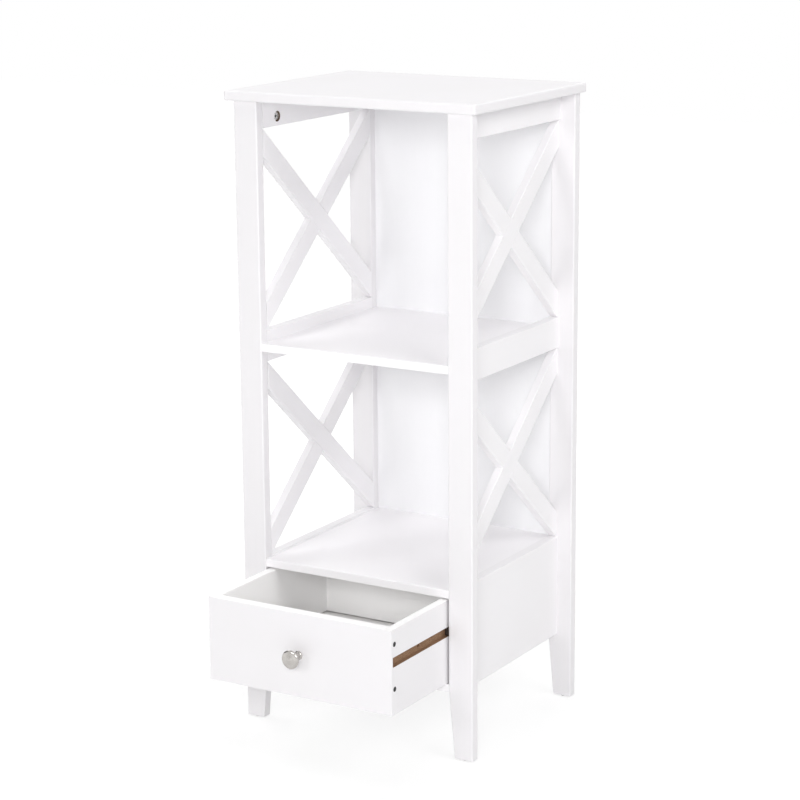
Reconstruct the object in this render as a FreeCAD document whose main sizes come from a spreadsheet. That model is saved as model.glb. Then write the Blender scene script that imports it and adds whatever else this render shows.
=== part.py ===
import FreeCAD, Part
import math
import os

import Sketcher
from FreeCAD import Placement, Rotation, Vector

# Free-standing shelf unit with X-braced sides and one drawer. Millimetres, +Z up, front towards -Y.
# The origin is on the floor, in the middle of the legs' outline. The drawer stands open at rest.

SIZES = [
    ("case_width", 380, "outer faces of the left and right legs"),
    ("case_depth", 315, "outer faces of the front and rear legs"),
    ("leg_length", 904, "foot to the underside of the top"),
    ("leg_width", 38, "leg, across the front"),
    ("leg_thick", 16, "leg, front to back"),
    ("leg_ease", 2, "rounding of the legs' long edges"),
    ("foot_width", 29, "leg across the front at its foot"),
    ("case_bottom", 97, "floor to the underside of the case"),
    ("top_thick", 14, "top board"),
    ("top_overhang", 10, "top board past the legs, front and sides"),
    ("top_round", 3, "rounding of the top board's edges"),
    ("frame_thick", 15, "rails and side panels"),
    ("upper_rail_height", 39, "rail under the top"),
    ("middle_rail_height", 45, "rail at the middle shelf"),
    ("side_panel_height", 152, "side of the drawer bay"),
    ("board_ease", 1, "rounding of the other boards' edges"),
    ("brace_width", 30, "bar of an X"),
    ("brace_thick", 12, "bar of an X"),
    ("shelf_thick", 12, "shelves and bottom board"),
    ("shelf_setback", 2, "shelves' front edges behind the legs' front"),
    ("middle_shelf_rise", 16.5, "middle shelf's underside above its rail's lower edge"),
    ("lower_shelf_drop", 3, "lower shelf's top below the side panel's top edge"),
    ("back_thick", 3, "back panel"),
    ("back_lap", 8, "back panel's edge behind the rear legs"),
    ("back_fit", 0.2, "room at the back panel's edges"),
    ("drawer_open", 148, "how far the drawer stands open"),
    ("drawer_recess", 1, "closed drawer's face behind the legs' front"),
    ("drawer_rear_gap", 15, "closed drawer's back in front of the back panel"),
    ("drawer_side_gap", 3, "beside the drawer"),
    ("drawer_top_gap", 2, "above the drawer"),
    ("drawer_under_gap", 1.5, "below the drawer"),
    ("drawer_front_thick", 15, "drawer front"),
    ("drawer_side_thick", 12, "drawer sides"),
    ("drawer_back_thick", 12, "drawer back"),
    ("drawer_floor_thick", 3, "drawer bottom"),
    ("drawer_floor_rise", 16, "drawer bottom's underside above the sides' lower edges"),
    ("drawer_floor_tongue", 6, "drawer bottom's edge inside its slots"),
    ("drawer_floor_fit", 0.2, "room round the drawer bottom's edge"),
    ("drawer_floor_room", 1.6, "slot's upper wall above the drawer bottom"),
    ("groove_drop", 39.5, "runner groove below the drawer's top edge"),
    ("groove_height", 14, "runner groove"),
    ("groove_depth", 6, "runner groove"),
    ("groove_stop", 3, "wood left in front of the runner groove"),
    ("peg_hole_bore", 6, "hole in the groove's floor"),
    ("peg_hole_depth", 3, "hole in the groove's floor"),
    ("peg_hole_back", 79.5, "hole in the groove's floor behind the drawer's face"),
    ("runner_rear_gap", 19.5, "runner's end in front of the back panel"),
    ("runner_carry", 0.3, "runner's top under the groove's upper wall"),
    ("runner_under", 1.3, "groove's lower wall under the runner"),
    ("runner_side", 1, "groove's floor beside the runner"),
    ("runner_front", 0.5, "runner's end behind the closed groove's end"),
    ("dowel_bore", 8, "wooden dowel's diameter"),
    ("dowel_short", 10, "dowel's length in a leg or in the top"),
    ("dowel_long", 14, "dowel's length in a rail or in a leg's top"),
    ("dowel_tip", 1, "chamfer of a dowel's ends"),
    ("dowel_fit", 0.1, "room round a dowel"),
    ("dowel_room", 0.5, "room at a dowel's ends"),
    ("dowel_inset", 20, "dowels from the upper and lower edges of rails and panels"),
    ("cam_bore", 15, "cam lock's diameter"),
    ("cam_height", 9.5, "cam lock"),
    ("cam_sink", 2.5, "cam lock's face below an upper rail's inner face"),
    ("cam_reach", 25.5, "cam lock's axis from the joint"),
    ("cam_inset", 36, "upper rail's cam lock from the leg"),
    ("cam_socket", 7, "driver socket's diameter in a cam lock"),
    ("cam_socket_depth", 2, "driver socket in a cam lock"),
    ("cam_fit", 0.1, "room round a cam lock and its bolt"),
    ("shelf_cam_inset", 41.5, "shelves' cam locks from the legs"),
    ("bolt_bore", 5, "cam bolt's shaft"),
    ("bolt_head", 5.6, "cam bolt's head"),
    ("bolt_grip", 10, "cam bolt's thread in the other piece"),
    ("screw_bore", 4, "drawer screw's shank"),
    ("screw_head", 7.4, "drawer screw's head"),
    ("screw_head_depth", 2.4, "drawer screw's countersink"),
    ("screw_length", 40, "drawer screw"),
    ("screw_socket", 3.4, "screw's driver socket"),
    ("screw_socket_depth", 1.6, "screw's driver socket"),
    ("screw_fit", 0.1, "room round a screw"),
    ("upper_screw_drop", 21.5, "upper drawer screws below the drawer's top edge"),
    ("lower_screw_drop", 85, "lower drawer screws below the drawer's top edge"),
    ("runner_screw_length", 19, "runner screw"),
    ("runner_screw_inset", 44, "runner screws from the runner's ends"),
    ("nail_bore", 1.6, "back panel nail"),
    ("nail_head", 4, "back panel nail's head"),
    ("nail_head_depth", 0.6, "back panel nail's head"),
    ("nail_length", 13, "back panel nail"),
    ("nail_inset", 30, "end nails from the back panel's top and bottom edges"),
    ("nail_spread", 70, "shelf nails beside the middle"),
    ("glide_bore", 13, "foot glide's diameter"),
    ("glide_thick", 2, "foot glide"),
    ("glide_pin", 3, "foot glide's pin"),
    ("glide_pin_length", 12, "foot glide's pin inside the leg"),
    ("knob_bore", 27, "knob's diameter"),
    ("knob_reach", 25.5, "knob in front of the drawer"),
    ("knob_rim", 4, "height of the knob's rounded rim below its crown"),
    ("knob_crown", 1.6, "rise of the knob's face"),
    ("knob_flare", 13, "knob's neck below the underside of its head"),
    ("knob_neck", 10, "knob's neck"),
    ("knob_foot", 13, "knob's foot plate"),
    ("knob_foot_thick", 2, "knob's foot plate"),
    ("knob_screw_bore", 4, "knob's screw"),
    ("knob_screw_head", 8.5, "knob screw's head"),
    ("knob_screw_head_depth", 2.4, "knob screw's head"),
    ("knob_screw_grip", 9, "knob's screw inside the knob"),
]

doc = FreeCAD.newDocument("ShelfUnit")
sheet = doc.addObject("Spreadsheet::Sheet", "Sizes")
for row, (alias, value, note) in enumerate(SIZES, start=1):
    sheet.set(f"A{row}", note)
    sheet.set(f"B{row}", str(value))
    sheet.setAlias(f"B{row}", alias)
doc.recompute()


class Size:
    """A length as a formula on the sheet, together with its present value."""

    def __init__(self, text, value):
        self.text = text
        self.value = value

    def __add__(self, other):
        other = size(other)
        return Size(f"({self.text} + {other.text})", self.value + other.value)

    def __sub__(self, other):
        other = size(other)
        return Size(f"({self.text} - {other.text})", self.value - other.value)

    def __mul__(self, other):
        other = size(other)
        return Size(f"({self.text} * {other.text})", self.value * other.value)

    def __truediv__(self, other):
        other = size(other)
        return Size(f"({self.text} / {other.text})", self.value / other.value)

    def __neg__(self):
        return Size(f"(-1 * {self.text})", -self.value)


def size(thing):
    return thing if isinstance(thing, Size) else Size(repr(thing), float(thing))


class Named:
    """Gives each named size of the sheet as a Size."""

    def __getattr__(self, alias):
        return Size(f"Sizes.{alias}", float(sheet.get(alias)))


S = Named()
ZERO = size(0)

# Planes and levels that several pieces share.
half_width = S.case_width / 2
half_depth = S.case_depth / 2
inner = half_width - S.leg_width
rail_length = S.case_depth - S.leg_thick * 2
under_top = S.glide_thick + S.leg_length
upper_rail_under = under_top - S.upper_rail_height
panel_top = S.case_bottom + S.side_panel_height
bay_height = (upper_rail_under - panel_top - S.middle_rail_height) / 2
middle_rail_under = panel_top + bay_height
middle_rail_top = middle_rail_under + S.middle_rail_height
back_face = half_depth - S.back_thick
shelf_front = S.shelf_setback - half_depth
middle_shelf_under = middle_rail_under + S.middle_shelf_rise
lower_shelf_under = panel_top - S.lower_shelf_drop - S.shelf_thick
drawer_half = inner - S.drawer_side_gap
drawer_under = S.case_bottom + S.shelf_thick + S.drawer_under_gap
drawer_top = lower_shelf_under - S.drawer_top_gap
drawer_height = drawer_top - drawer_under
groove_top = drawer_top - S.groove_drop
runner_height = S.groove_height - S.runner_carry - S.runner_under
runner_thick = S.drawer_side_gap + S.groove_depth - S.runner_side
closed_face = S.drawer_recess - half_depth
drawer_face = closed_face - S.drawer_open
drawer_depth = back_face - S.drawer_rear_gap - closed_face
runner_start = closed_face + S.groove_stop + S.runner_front
runner_length = back_face - S.runner_rear_gap - runner_start

ALONG_X = Rotation(Vector(0, 1, 0), 90)
AGAINST_X = Rotation(Vector(0, 1, 0), -90)
ALONG_Y = Rotation(Vector(1, 0, 0), -90)
AGAINST_Y = Rotation(Vector(1, 0, 0), 90)
UPRIGHT = Rotation()
DOWN = Rotation(Vector(1, 0, 0), 180)

NODES = []


def bind(thing, path, length):
    thing.setExpression(path, size(length).text)


def place(thing, spot, turn=UPRIGHT, path="Placement"):
    setattr(thing, path, Placement(Vector(*[size(c).value for c in spot]), turn))
    for axis, coordinate in zip("xyz", spot):
        bind(thing, f"{path}.Base.{axis}", coordinate)


def new_sketch(body, name, role, lift=None):
    """A sketch on one of the body's own planes, raised along the plane's normal by lift."""
    drawing = body.newObject("Sketcher::SketchObject", name)
    plane = [item for item in body.Origin.OriginFeatures if item.Role == role][0]
    drawing.AttachmentSupport = [(plane, "")]
    drawing.MapMode = "FlatFace"
    if lift is not None:
        bind(drawing, "AttachmentOffset.Base.z", lift)
    return drawing


def dimension(drawing, kind, geometry, point, length):
    """Sets a point's distance from the sketch's origin along one axis, or puts it on the other axis."""
    if length.text == ZERO.text:
        on_axis = -2 if kind == "DistanceX" else -1
        drawing.addConstraint(Sketcher.Constraint("PointOnObject", geometry, point, on_axis))
        return
    index = drawing.addConstraint(Sketcher.Constraint(kind, -1, 1, geometry, point, length.value))
    bind(drawing, f"Constraints[{index}]", length)


def outline(drawing, points):
    """A closed chain of straight lines. Each level is dimensioned once, and other points line up with it."""
    points = [(size(x), size(y)) for x, y in points]
    count = len(points)
    for i in range(count):
        a = points[i]
        b = points[(i + 1) % count]
        line = Part.LineSegment(Vector(a[0].value, a[1].value, 0), Vector(b[0].value, b[1].value, 0))
        drawing.addGeometry(line, False)
    for i in range(count):
        drawing.addConstraint(Sketcher.Constraint("Coincident", i, 2, (i + 1) % count, 1))
    for side, kind, level in ((0, "DistanceX", "Vertical"), (1, "DistanceY", "Horizontal")):
        seen = {}
        for i, point in enumerate(points):
            text = point[side].text
            if text in seen and text != ZERO.text:
                drawing.addConstraint(Sketcher.Constraint(level, i, 1, seen[text], 1))
            else:
                dimension(drawing, kind, i, 1, point[side])
                seen[text] = i


def new_body(label):
    body = doc.addObject("PartDesign::Body", label)
    body.Label = label
    return body


def pad(body, drawing, length, name="Pad"):
    feature = body.newObject("PartDesign::Pad", name)
    feature.Profile = drawing
    bind(feature, "Length", length)
    return feature


def pocket(body, drawing, depth, forward, name="Pocket"):
    """Cuts the sketch into the body, along the sketch's normal if forward, and insists that it cuts."""
    doc.recompute()
    before = body.Shape.Volume
    feature = body.newObject("PartDesign::Pocket", name)
    feature.Profile = drawing
    feature.Reversed = forward
    bind(feature, "Length", depth)
    doc.recompute()
    if body.Shape.Volume > before - 1e-3:
        raise RuntimeError(f"{body.Label}: {name} cuts nothing")
    return feature


def round_edges(body, feature, radius, wanted, name="Ease"):
    """Rounds those edges of the feature that wanted(edge) picks."""
    doc.recompute()
    names = [f"Edge{i}" for i, edge in enumerate(feature.Shape.Edges, start=1) if wanted(edge)]
    ease = body.newObject("PartDesign::Fillet", name)
    ease.Base = (feature, names)
    bind(ease, "Radius", radius)
    return ease


def runs_along(edge, axis):
    way = edge.Vertexes[-1].Point - edge.Vertexes[0].Point
    return abs(getattr(way.normalize(), axis)) > 0.95


def board(label, extent, corner, ease=None, eased=None):
    """A rectangular board: its extent along X, Y and Z, and its lowest corner."""
    body = new_body(label)
    drawing = new_sketch(body, "Face", "XY_Plane")
    outline(drawing, [(0, 0), (extent[0], 0), (extent[0], extent[1]), (0, extent[1])])
    feature = pad(body, drawing, extent[2], "Thickness")
    if ease is not None:
        round_edges(body, feature, ease, eased)
    place(body, corner)
    return body


def turned(label, profile):
    """A turned piece: the profile gives radius and height, and its axis is the piece's own Z."""
    body = new_body(label)
    drawing = new_sketch(body, "Profile", "XZ_Plane")
    outline(drawing, profile)
    feature = body.newObject("PartDesign::Revolution", "Turning")
    feature.Profile = drawing
    feature.ReferenceAxis = (drawing, ["V_Axis"])
    feature.Angle = 360
    return body


def copies(label, piece, spots):
    """A group of the same piece at each spot: x, y, z and a turn."""
    links = []
    for number, (x, y, z, turn) in enumerate(spots, start=1):
        link = doc.addObject("App::Link", f"{label}_{number}")
        link.LinkedObject = piece
        place(link, (x, y, z), turn, "LinkPlacement")
        links.append(link)
    return compound(label, links)


def compound(label, things):
    group = doc.addObject("Part::Compound", label)
    group.Label = label
    group.Links = things
    return group


def keep(thing, label):
    thing.Label = label
    NODES.append(thing)
    return thing


def cut(label, base, tools):
    """The finished piece: the blank with its bores, slots and seats cut out."""
    base.Label = f"{label}_blank"
    piece = doc.addObject("Part::Cut", label)
    piece.Base = base
    piece.Tool = tools[0] if len(tools) == 1 else compound(f"{label}_cuts", tools)
    return keep(piece, label)


def box(label, extent, corner):
    """A plain block of room, used to cut slots and seats."""
    block = doc.addObject("Part::Box", label)
    for path, length in zip(("Length", "Width", "Height"), extent):
        bind(block, path, length)
    place(block, corner)
    return block


# Fastenings, each turned once and then copied. The joint's plane is at height zero.
dowel_radius = S.dowel_bore / 2
dowel = turned("dowel", [
    (0, -S.dowel_long), (dowel_radius - S.dowel_tip, -S.dowel_long),
    (dowel_radius, S.dowel_tip - S.dowel_long), (dowel_radius, S.dowel_short - S.dowel_tip),
    (dowel_radius - S.dowel_tip, S.dowel_short), (0, S.dowel_short)])
dowel_hole_radius = dowel_radius + S.dowel_fit
dowel_hole = turned("dowel_hole", [
    (0, -(S.dowel_long + S.dowel_room)), (dowel_hole_radius, -(S.dowel_long + S.dowel_room)),
    (dowel_hole_radius, S.dowel_short + S.dowel_room), (0, S.dowel_short + S.dowel_room)])

rail_dowels = []
for side in (1, -1):
    across = (inner + S.frame_thick / 2) * side
    levels = [
        under_top - S.upper_rail_height / 2,
        middle_rail_under + S.dowel_inset / 2, middle_rail_top - S.dowel_inset / 2,
        S.case_bottom + S.dowel_inset, panel_top - S.dowel_inset,
    ]
    for level in levels:
        rail_dowels.append((across, -rail_length / 2, level, AGAINST_Y))
        rail_dowels.append((across, rail_length / 2, level, ALONG_Y))
keep(copies("side_frame_dowels", dowel, rail_dowels), "side_frame_dowels")
rail_dowel_holes = copies("side_frame_dowel_holes", dowel_hole, rail_dowels)

leg_middle = half_depth - S.leg_thick / 2
leg_dowels = []
for side in (1, -1):
    for end in (1, -1):
        leg_dowels.append(((half_width - S.leg_width / 2) * side, leg_middle * end, under_top, UPRIGHT))
keep(copies("top_dowels", dowel, leg_dowels), "top_dowels")
leg_dowel_holes = copies("top_dowel_holes", dowel_hole, leg_dowels)

# Cam locks and their bolts: under the top in the upper rails, and in the undersides of the three shelves.
bolt_radius = S.bolt_bore / 2
bolt_head_radius = S.bolt_head / 2
bolt_end = -(S.cam_reach + bolt_head_radius)
bolt_shoulder = -(S.cam_reach - bolt_head_radius)
bolt = turned("cam_bolt", [
    (0, bolt_end), (bolt_head_radius, bolt_end), (bolt_head_radius, bolt_shoulder),
    (bolt_radius, bolt_shoulder), (bolt_radius, S.bolt_grip), (0, S.bolt_grip)])
bolt_hole_radius = bolt_head_radius + S.cam_fit
bolt_thread_radius = bolt_radius + S.cam_fit
bolt_hole = turned("cam_bolt_hole", [
    (0, bolt_end - S.cam_fit), (bolt_hole_radius, bolt_end - S.cam_fit), (bolt_hole_radius, 0),
    (bolt_thread_radius, 0), (bolt_thread_radius, S.bolt_grip + S.cam_fit), (0, S.bolt_grip + S.cam_fit)])
cam_radius = S.cam_bore / 2
cam_seat_radius = cam_radius + S.cam_fit
socket_radius = S.cam_socket / 2
cam = turned("cam_lock", [
    (0, -S.cam_height), (cam_radius, -S.cam_height), (cam_radius, 0), (socket_radius, 0),
    (socket_radius, -S.cam_socket_depth), (0, -S.cam_socket_depth)])
cam_hole_depth = S.cam_height + S.cam_fit
shelf_cam_hole = turned("shelf_cam_hole", [
    (0, -cam_hole_depth), (cam_seat_radius, -cam_hole_depth), (cam_seat_radius, 0), (0, 0)])
rail_cam_hole = turned("rail_cam_hole", [
    (0, -cam_hole_depth), (cam_seat_radius, -cam_hole_depth), (cam_seat_radius, S.cam_sink), (0, S.cam_sink)])

rail_cams = []
rail_bolts = []
for side, turn in ((1, AGAINST_X), (-1, ALONG_X)):
    for end in (1, -1):
        along = (rail_length / 2 - S.cam_inset) * end
        rail_cams.append(((inner + S.cam_sink) * side, along, under_top - S.cam_reach, turn))
        rail_bolts.append(((inner + S.frame_thick / 2) * side, along, under_top, UPRIGHT))
shelf_cams = []
shelf_bolts = []
for under in (middle_shelf_under, lower_shelf_under, S.case_bottom):
    for side, turn in ((1, ALONG_X), (-1, AGAINST_X)):
        for end in (1, -1):
            along = (rail_length / 2 - S.shelf_cam_inset) * end
            shelf_cams.append(((inner - S.cam_reach) * side, along, under, DOWN))
            shelf_bolts.append((inner * side, along, under + S.shelf_thick / 2, turn))
bolt_holes = copies("cam_bolt_holes", bolt_hole, rail_bolts + shelf_bolts)
keep(copies("cam_bolts", bolt, rail_bolts + shelf_bolts), "cam_bolts")
cut("rail_cam_locks", copies("rail_cam_locks_blank", cam, rail_cams), [bolt_holes])
cut("shelf_cam_locks", copies("shelf_cam_locks_blank", cam, shelf_cams), [bolt_holes])
rail_cam_holes = copies("rail_cam_holes", rail_cam_hole, rail_cams)
shelf_cam_holes = copies("shelf_cam_holes", shelf_cam_hole, shelf_cams)


def screw(label, length):
    """A countersunk screw whose head is flush at height zero, and the hole that it fills."""
    head = S.screw_head / 2
    shank = S.screw_bore / 2
    socket = S.screw_socket / 2
    neck = -S.screw_head_depth
    point = shank - length
    piece = turned(label, [
        (0, -length), (shank, point), (shank, neck), (head, 0), (socket, 0),
        (socket, -S.screw_socket_depth), (0, -S.screw_socket_depth)])
    wide = head + S.screw_fit
    slim = shank + S.screw_fit
    hole = turned(f"{label}_hole", [
        (0, -(length + S.screw_fit)), (slim, point - S.screw_fit), (slim, neck), (wide, 0), (0, 0)])
    return piece, hole


drawer_screw, drawer_screw_hole = screw("drawer_screw", S.screw_length)
drawer_screw_spots = []
for side, turn in ((1, ALONG_X), (-1, AGAINST_X)):
    front_row = drawer_face + S.drawer_front_thick / 2
    back_row = drawer_face + drawer_depth - S.drawer_back_thick / 2
    for along in (front_row, back_row):
        for drop in (S.upper_screw_drop, S.lower_screw_drop):
            drawer_screw_spots.append((drawer_half * side, along, drawer_top - drop, turn))
keep(copies("drawer_screws", drawer_screw, drawer_screw_spots), "drawer_screws")
drawer_screw_holes = copies("drawer_screw_holes", drawer_screw_hole, drawer_screw_spots)

runner_screw, runner_screw_hole = screw("runner_screw", S.runner_screw_length)
runner_level = groove_top - S.runner_carry - runner_height / 2
runner_screw_spots = []
for side, turn in ((1, AGAINST_X), (-1, ALONG_X)):
    for end in (1, -1):
        along = runner_start + runner_length / 2 + (runner_length / 2 - S.runner_screw_inset) * end
        runner_screw_spots.append(((inner - runner_thick) * side, along, runner_level, turn))
keep(copies("runner_screws", runner_screw, runner_screw_spots), "runner_screws")
runner_screw_holes = copies("runner_screw_holes", runner_screw_hole, runner_screw_spots)

nail_radius = S.nail_bore / 2
nail_head_radius = S.nail_head / 2
nail = turned("nail", [
    (0, -S.nail_length), (nail_radius, nail_radius * 2 - S.nail_length), (nail_radius, -S.nail_head_depth),
    (nail_head_radius, -S.nail_head_depth), (nail_head_radius, 0), (0, 0)])
nail_rows = 5
nail_run = under_top - S.case_bottom - S.nail_inset * 2
nails = []
for side in (1, -1):
    for step in range(nail_rows):
        level = S.case_bottom + S.nail_inset + nail_run * step / (nail_rows - 1)
        nails.append(((inner + S.back_lap / 2) * side, half_depth, level, ALONG_Y))
    for under in (middle_shelf_under, lower_shelf_under, S.case_bottom):
        nails.append((S.nail_spread * side, half_depth, under + S.shelf_thick / 2, ALONG_Y))
nail_group = keep(copies("back_panel_nails", nail, nails), "back_panel_nails")

glide_radius = S.glide_bore / 2
glide_pin_radius = S.glide_pin / 2
glide = turned("glide", [
    (0, 0), (glide_radius - S.glide_thick, 0), (glide_radius, S.glide_thick * 2 / 3),
    (glide_radius, S.glide_thick), (glide_pin_radius, S.glide_thick),
    (glide_pin_radius, S.glide_thick + S.glide_pin_length), (0, S.glide_thick + S.glide_pin_length)])
glides = []
for side in (1, -1):
    for end in (1, -1):
        glides.append(((half_width - S.foot_width / 2) * side, leg_middle * end, 0, UPRIGHT))
glide_group = keep(copies("foot_glides", glide, glides), "foot_glides")

# Legs: straight on the outside, tapered on the inside below the case.
# The rear pair is rebated for the back panel.
back_seat = box(
    "back_panel_seat",
    ((inner + S.back_lap + S.back_fit) * 2, S.back_thick, under_top - S.case_bottom),
    (-(inner + S.back_lap + S.back_fit), back_face, S.case_bottom))


def leg(label, side, end):
    body = new_body(label)
    drawing = new_sketch(body, "Profile", "XZ_Plane")
    outline(drawing, [
        (0, 0), (0, S.leg_length), (-S.leg_width, S.leg_length),
        (-S.leg_width, S.case_bottom - S.glide_thick), (-S.foot_width, 0)])
    feature = pad(body, drawing, S.leg_thick, "Thickness")
    round_edges(body, feature, S.leg_ease, lambda edge: runs_along(edge, "z"))
    # The blank grows towards -Y of its own axes, so a leg that is turned round starts at its other face.
    face = half_depth * end if side * end > 0 else leg_inside * end
    turn = UPRIGHT if side > 0 else Rotation(Vector(0, 0, 1), 180)
    place(body, (half_width * side, face, S.glide_thick), turn)
    cuts = [rail_dowel_holes, leg_dowel_holes, glide_group]
    if end > 0:
        cuts += [back_seat, nail_group]
    return cut(label, body, cuts)


leg_inside = half_depth - S.leg_thick
leg("leg_front_left", -1, -1)
leg("leg_front_right", 1, -1)
leg("leg_rear_left", -1, 1)
leg("leg_rear_right", 1, 1)

# Top board, rounded on all its edges.
top_width = S.case_width + S.top_overhang * 2
top = board(
    "top_board_blank", (top_width, S.case_depth + S.top_overhang, S.top_thick),
    (-top_width / 2, -(half_depth + S.top_overhang), under_top), S.top_round, lambda edge: True)
cut("top_board", top, [leg_dowel_holes, bolt_holes])


# Rails, side panels and X-braces of the two side frames, flush with the inner faces of the legs.
def side_board(label, side, height, under, cuts):
    inside = inner if side > 0 else -(inner + S.frame_thick)
    body = board(
        f"{label}_blank", (S.frame_thick, rail_length, height), (inside, -rail_length / 2, under),
        S.board_ease, lambda edge: runs_along(edge, "y"))
    return cut(label, body, cuts)


def brace_outline(drawing, rising):
    """A bar between the legs: both ends are cut upright, with one corner of each in a corner of the bay."""
    span = rail_length.value
    rise = bay_height.value
    width = S.brace_width.value
    # The bar's ends are this long where they meet the legs, so that its long edges are its width apart.
    slant = math.sqrt(span ** 2 + rise ** 2 - width ** 2)
    end = width * (width * rise - span * slant) / (width ** 2 - span ** 2)
    points = [(0, 0), (span, rise - end), (span, rise), (0, end)]
    if not rising:
        points = [(x, rise - y) for x, y in points]
    for i, (x, y) in enumerate(points):
        x2, y2 = points[(i + 1) % 4]
        drawing.addGeometry(Part.LineSegment(Vector(x, y, 0), Vector(x2, y2, 0)), False)
    rules = [Sketcher.Constraint("Coincident", i, 2, (i + 1) % 4, 1) for i in range(4)]
    rules.append(Sketcher.Constraint("Vertical", 1))
    rules.append(Sketcher.Constraint("Vertical", 3))
    rules.append(Sketcher.Constraint("Parallel", 0, 2))
    drawing.addConstraint(rules)
    low, high = (0, 2) if rising else (2, 0)
    dimension(drawing, "DistanceX", 0, 1, ZERO)
    dimension(drawing, "DistanceX", 2, 1, rail_length)
    dimension(drawing, "DistanceY", low, 1, ZERO)
    dimension(drawing, "DistanceY", high, 1, bay_height)
    index = drawing.addConstraint(Sketcher.Constraint("Distance", 0, 1, 2, width))
    bind(drawing, f"Constraints[{index}]", S.brace_width)


def slants(edge):
    return not runs_along(edge, "x") and not runs_along(edge, "z")


def brace(label, side, under, rising):
    """One bar of an X, with half of its thickness cut away where the other bar crosses it."""
    body = new_body(label)
    drawing = new_sketch(body, "Bar", "YZ_Plane")
    brace_outline(drawing, rising)
    feature = pad(body, drawing, S.brace_thick, "Thickness")
    round_edges(body, feature, S.board_ease, slants)
    lapped_inside = rising
    at_start = lapped_inside if side > 0 else not lapped_inside
    lap = new_sketch(body, "Crossing", "YZ_Plane", ZERO if at_start else S.brace_thick)
    brace_outline(lap, not rising)
    pocket(body, lap, S.brace_thick / 2, at_start, "Halving")
    inside = inner if side > 0 else -(inner + S.brace_thick)
    place(body, (inside, -rail_length / 2, under))
    keep(body, label)


for side, hand in ((1, "right"), (-1, "left")):
    side_board(f"upper_rail_{hand}", side, S.upper_rail_height, upper_rail_under,
               [rail_dowel_holes, rail_cam_holes, bolt_holes])
    side_board(f"middle_rail_{hand}", side, S.middle_rail_height, middle_rail_under,
               [rail_dowel_holes, bolt_holes])
    side_board(f"side_panel_{hand}", side, S.side_panel_height, S.case_bottom,
               [rail_dowel_holes, bolt_holes, runner_screw_holes])
    for bay, under in (("upper", middle_rail_top), ("lower", panel_top)):
        brace(f"{bay}_{hand}_brace_rising", side, under, True)
        brace(f"{bay}_{hand}_brace_falling", side, under, False)


# Shelves between the side frames, from just behind the legs' front to the back panel.
def shelf(label, under):
    depth = back_face - shelf_front
    front_edge = lambda edge: runs_along(edge, "x") and edge.CenterOfMass.y < depth.value / 2
    body = board(
        f"{label}_blank", (inner * 2, depth, S.shelf_thick), (-inner, shelf_front, under),
        S.board_ease, front_edge)
    return cut(label, body, [shelf_cam_holes, bolt_holes, nail_group])


shelf("middle_shelf", middle_shelf_under)
shelf("lower_shelf", lower_shelf_under)
shelf("bottom_board", S.case_bottom)

# Back panel, in the rear legs' rebates and against the shelves' rear edges.
back_width = (inner + S.back_lap) * 2
back = board(
    "back_panel_blank", (back_width, S.back_thick, under_top - S.case_bottom),
    (-back_width / 2, back_face, S.case_bottom))
cut("back_panel", back, [nail_group])

# Runner battens on the side panels, and the drawer that hangs on them by its grooves.
for side, hand in ((1, "right"), (-1, "left")):
    inside = inner - runner_thick if side > 0 else -inner
    batten = board(
        f"drawer_runner_{hand}_blank", (runner_thick, runner_length, runner_height),
        (inside, runner_start, groove_top - S.runner_carry - runner_height), S.board_ease,
        lambda edge: runs_along(edge, "y"))
    cut(f"drawer_runner_{hand}", batten, [runner_screw_holes])

drawer_inside = drawer_half - S.drawer_side_thick
drawer_rear = drawer_face + drawer_depth
floor_half = drawer_inside + S.drawer_floor_tongue
floor_front = drawer_face + S.drawer_front_thick - S.drawer_floor_tongue
floor_rear = drawer_rear - S.drawer_back_thick + S.drawer_floor_tongue
floor_under = drawer_under + S.drawer_floor_rise
floor_slot = box(
    "drawer_bottom_slot",
    ((floor_half + S.drawer_floor_fit) * 2, floor_rear - floor_front + S.drawer_floor_fit * 2,
     S.drawer_floor_thick + S.drawer_floor_room),
    (-(floor_half + S.drawer_floor_fit), floor_front - S.drawer_floor_fit, floor_under))
keep(board(
    "drawer_bottom", (floor_half * 2, floor_rear - floor_front, S.drawer_floor_thick),
    (-floor_half, floor_front, floor_under)), "drawer_bottom")

peg_hole = turned("peg_hole", [
    (0, 0), (S.peg_hole_bore / 2, 0), (S.peg_hole_bore / 2, S.peg_hole_depth), (0, S.peg_hole_depth)])
for side, hand, turn in ((1, "right", AGAINST_X), (-1, "left", ALONG_X)):
    inside = drawer_inside if side > 0 else -drawer_half
    plank = board(
        f"drawer_side_{hand}_blank", (S.drawer_side_thick, drawer_depth, drawer_height),
        (inside, drawer_face, drawer_under), S.board_ease,
        lambda edge: runs_along(edge, "y") and edge.CenterOfMass.z > drawer_height.value / 2)
    outside = drawer_half - S.groove_depth if side > 0 else -drawer_half
    groove = box(
        f"runner_groove_{hand}", (S.groove_depth, drawer_depth - S.groove_stop, S.groove_height),
        (outside, drawer_face + S.groove_stop, groove_top - S.groove_height))
    peg_hole_spot = [((drawer_half - S.groove_depth) * side, drawer_face + S.peg_hole_back,
                      groove_top - S.groove_height / 2, turn)]
    peg = copies(f"peg_hole_{hand}", peg_hole, peg_hole_spot)
    cut(f"drawer_side_{hand}", plank, [groove, peg, floor_slot, drawer_screw_holes])


def upper_edges(edge):
    return runs_along(edge, "x") and edge.CenterOfMass.z > drawer_height.value / 2


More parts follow.
